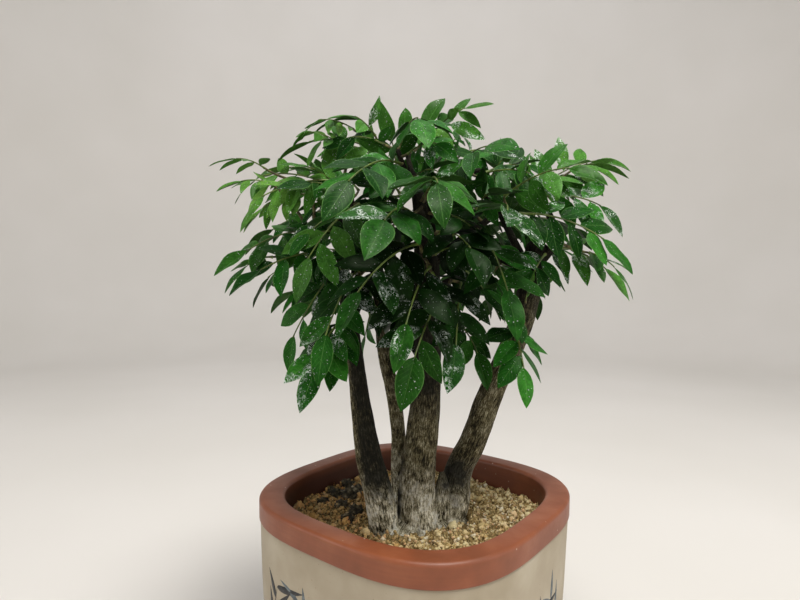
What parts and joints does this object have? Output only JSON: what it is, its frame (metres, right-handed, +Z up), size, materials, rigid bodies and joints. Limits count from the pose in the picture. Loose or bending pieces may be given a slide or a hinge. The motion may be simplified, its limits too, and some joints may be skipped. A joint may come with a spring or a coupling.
{
  "type": "potted bonsai tree",
  "caption": "Bonsai with a clump of upright trunks and glossy pinnate leaves, growing in a deep rounded-square ceramic pot.",
  "frame": {"origin": "centre of the pot's flat underside", "axes": "+Z up along the trunks, -Y towards the viewer of the picture, +X to the viewer's right; the pot is turned 52 degrees about Z"},
  "size_m": [0.2464, 0.2027, 0.3589],
  "materials": {
    "pot_body": "matte",
    "net": "matte",
    "soil": "matte",
    "bark": "matte",
    "leaf": "gloss"
  },
  "bodies": {
    "root": {"drain_net": "net", "pot": "pot_body", "soil": "soil", "spray_back_left": "leaf", "spray_back_left_low": "leaf", "spray_back_left_top": "leaf", "spray_back_low_left": "leaf", "spray_back_low_right": "leaf", "spray_back_mid": "leaf", "spray_back_mid_left": "leaf", "spray_back_right": "leaf", "spray_back_right_low": "leaf", "spray_back_right_top": "leaf", "spray_back_top": "leaf", "spray_back_top_left": "leaf", "spray_front_high": "leaf", "spray_front_left_high": "leaf", "spray_front_mid": "leaf", "spray_inner_front": "leaf", "spray_inner_left": "leaf", "spray_inner_right": "leaf", "spray_left_back_low": "leaf", "spray_left_low": "leaf", "spray_left_low_front": "leaf", "spray_left_lowest": "leaf", "spray_left_mid_back": "leaf", "spray_left_mid_front": "leaf", "spray_left_top_twigs": "leaf", "spray_left_upper": "leaf", "spray_left_young": "leaf", "spray_low_centre": "leaf", "spray_low_left_front": "leaf", "spray_low_left_hang": "leaf", "spray_low_mid": "leaf", "spray_low_right": "leaf", "spray_low_right_mid": "leaf", "spray_right_back": "leaf", "spray_right_back_low": "leaf", "spray_right_back_top": "leaf", "spray_right_bud": "leaf", "spray_right_crown": "leaf", "spray_right_far": "leaf", "spray_right_front": "leaf", "spray_right_low": "leaf", "spray_right_mid": "leaf", "spray_right_top": "leaf", "spray_right_top_front": "leaf", "spray_sprout": "leaf", "spray_top_back_left": "leaf", "spray_top_back_right": "leaf", "spray_top_cover_left": "leaf", "spray_top_cover_right": "leaf", "spray_top_far_right": "leaf", "spray_top_left": "leaf", "spray_top_mid": "leaf", "spray_top_right": "leaf", "spray_top_right_back": "leaf", "spray_top_upright": "leaf", "spray_wet_left": "leaf", "trunks": "bark"}
  },
  "joints": []
}
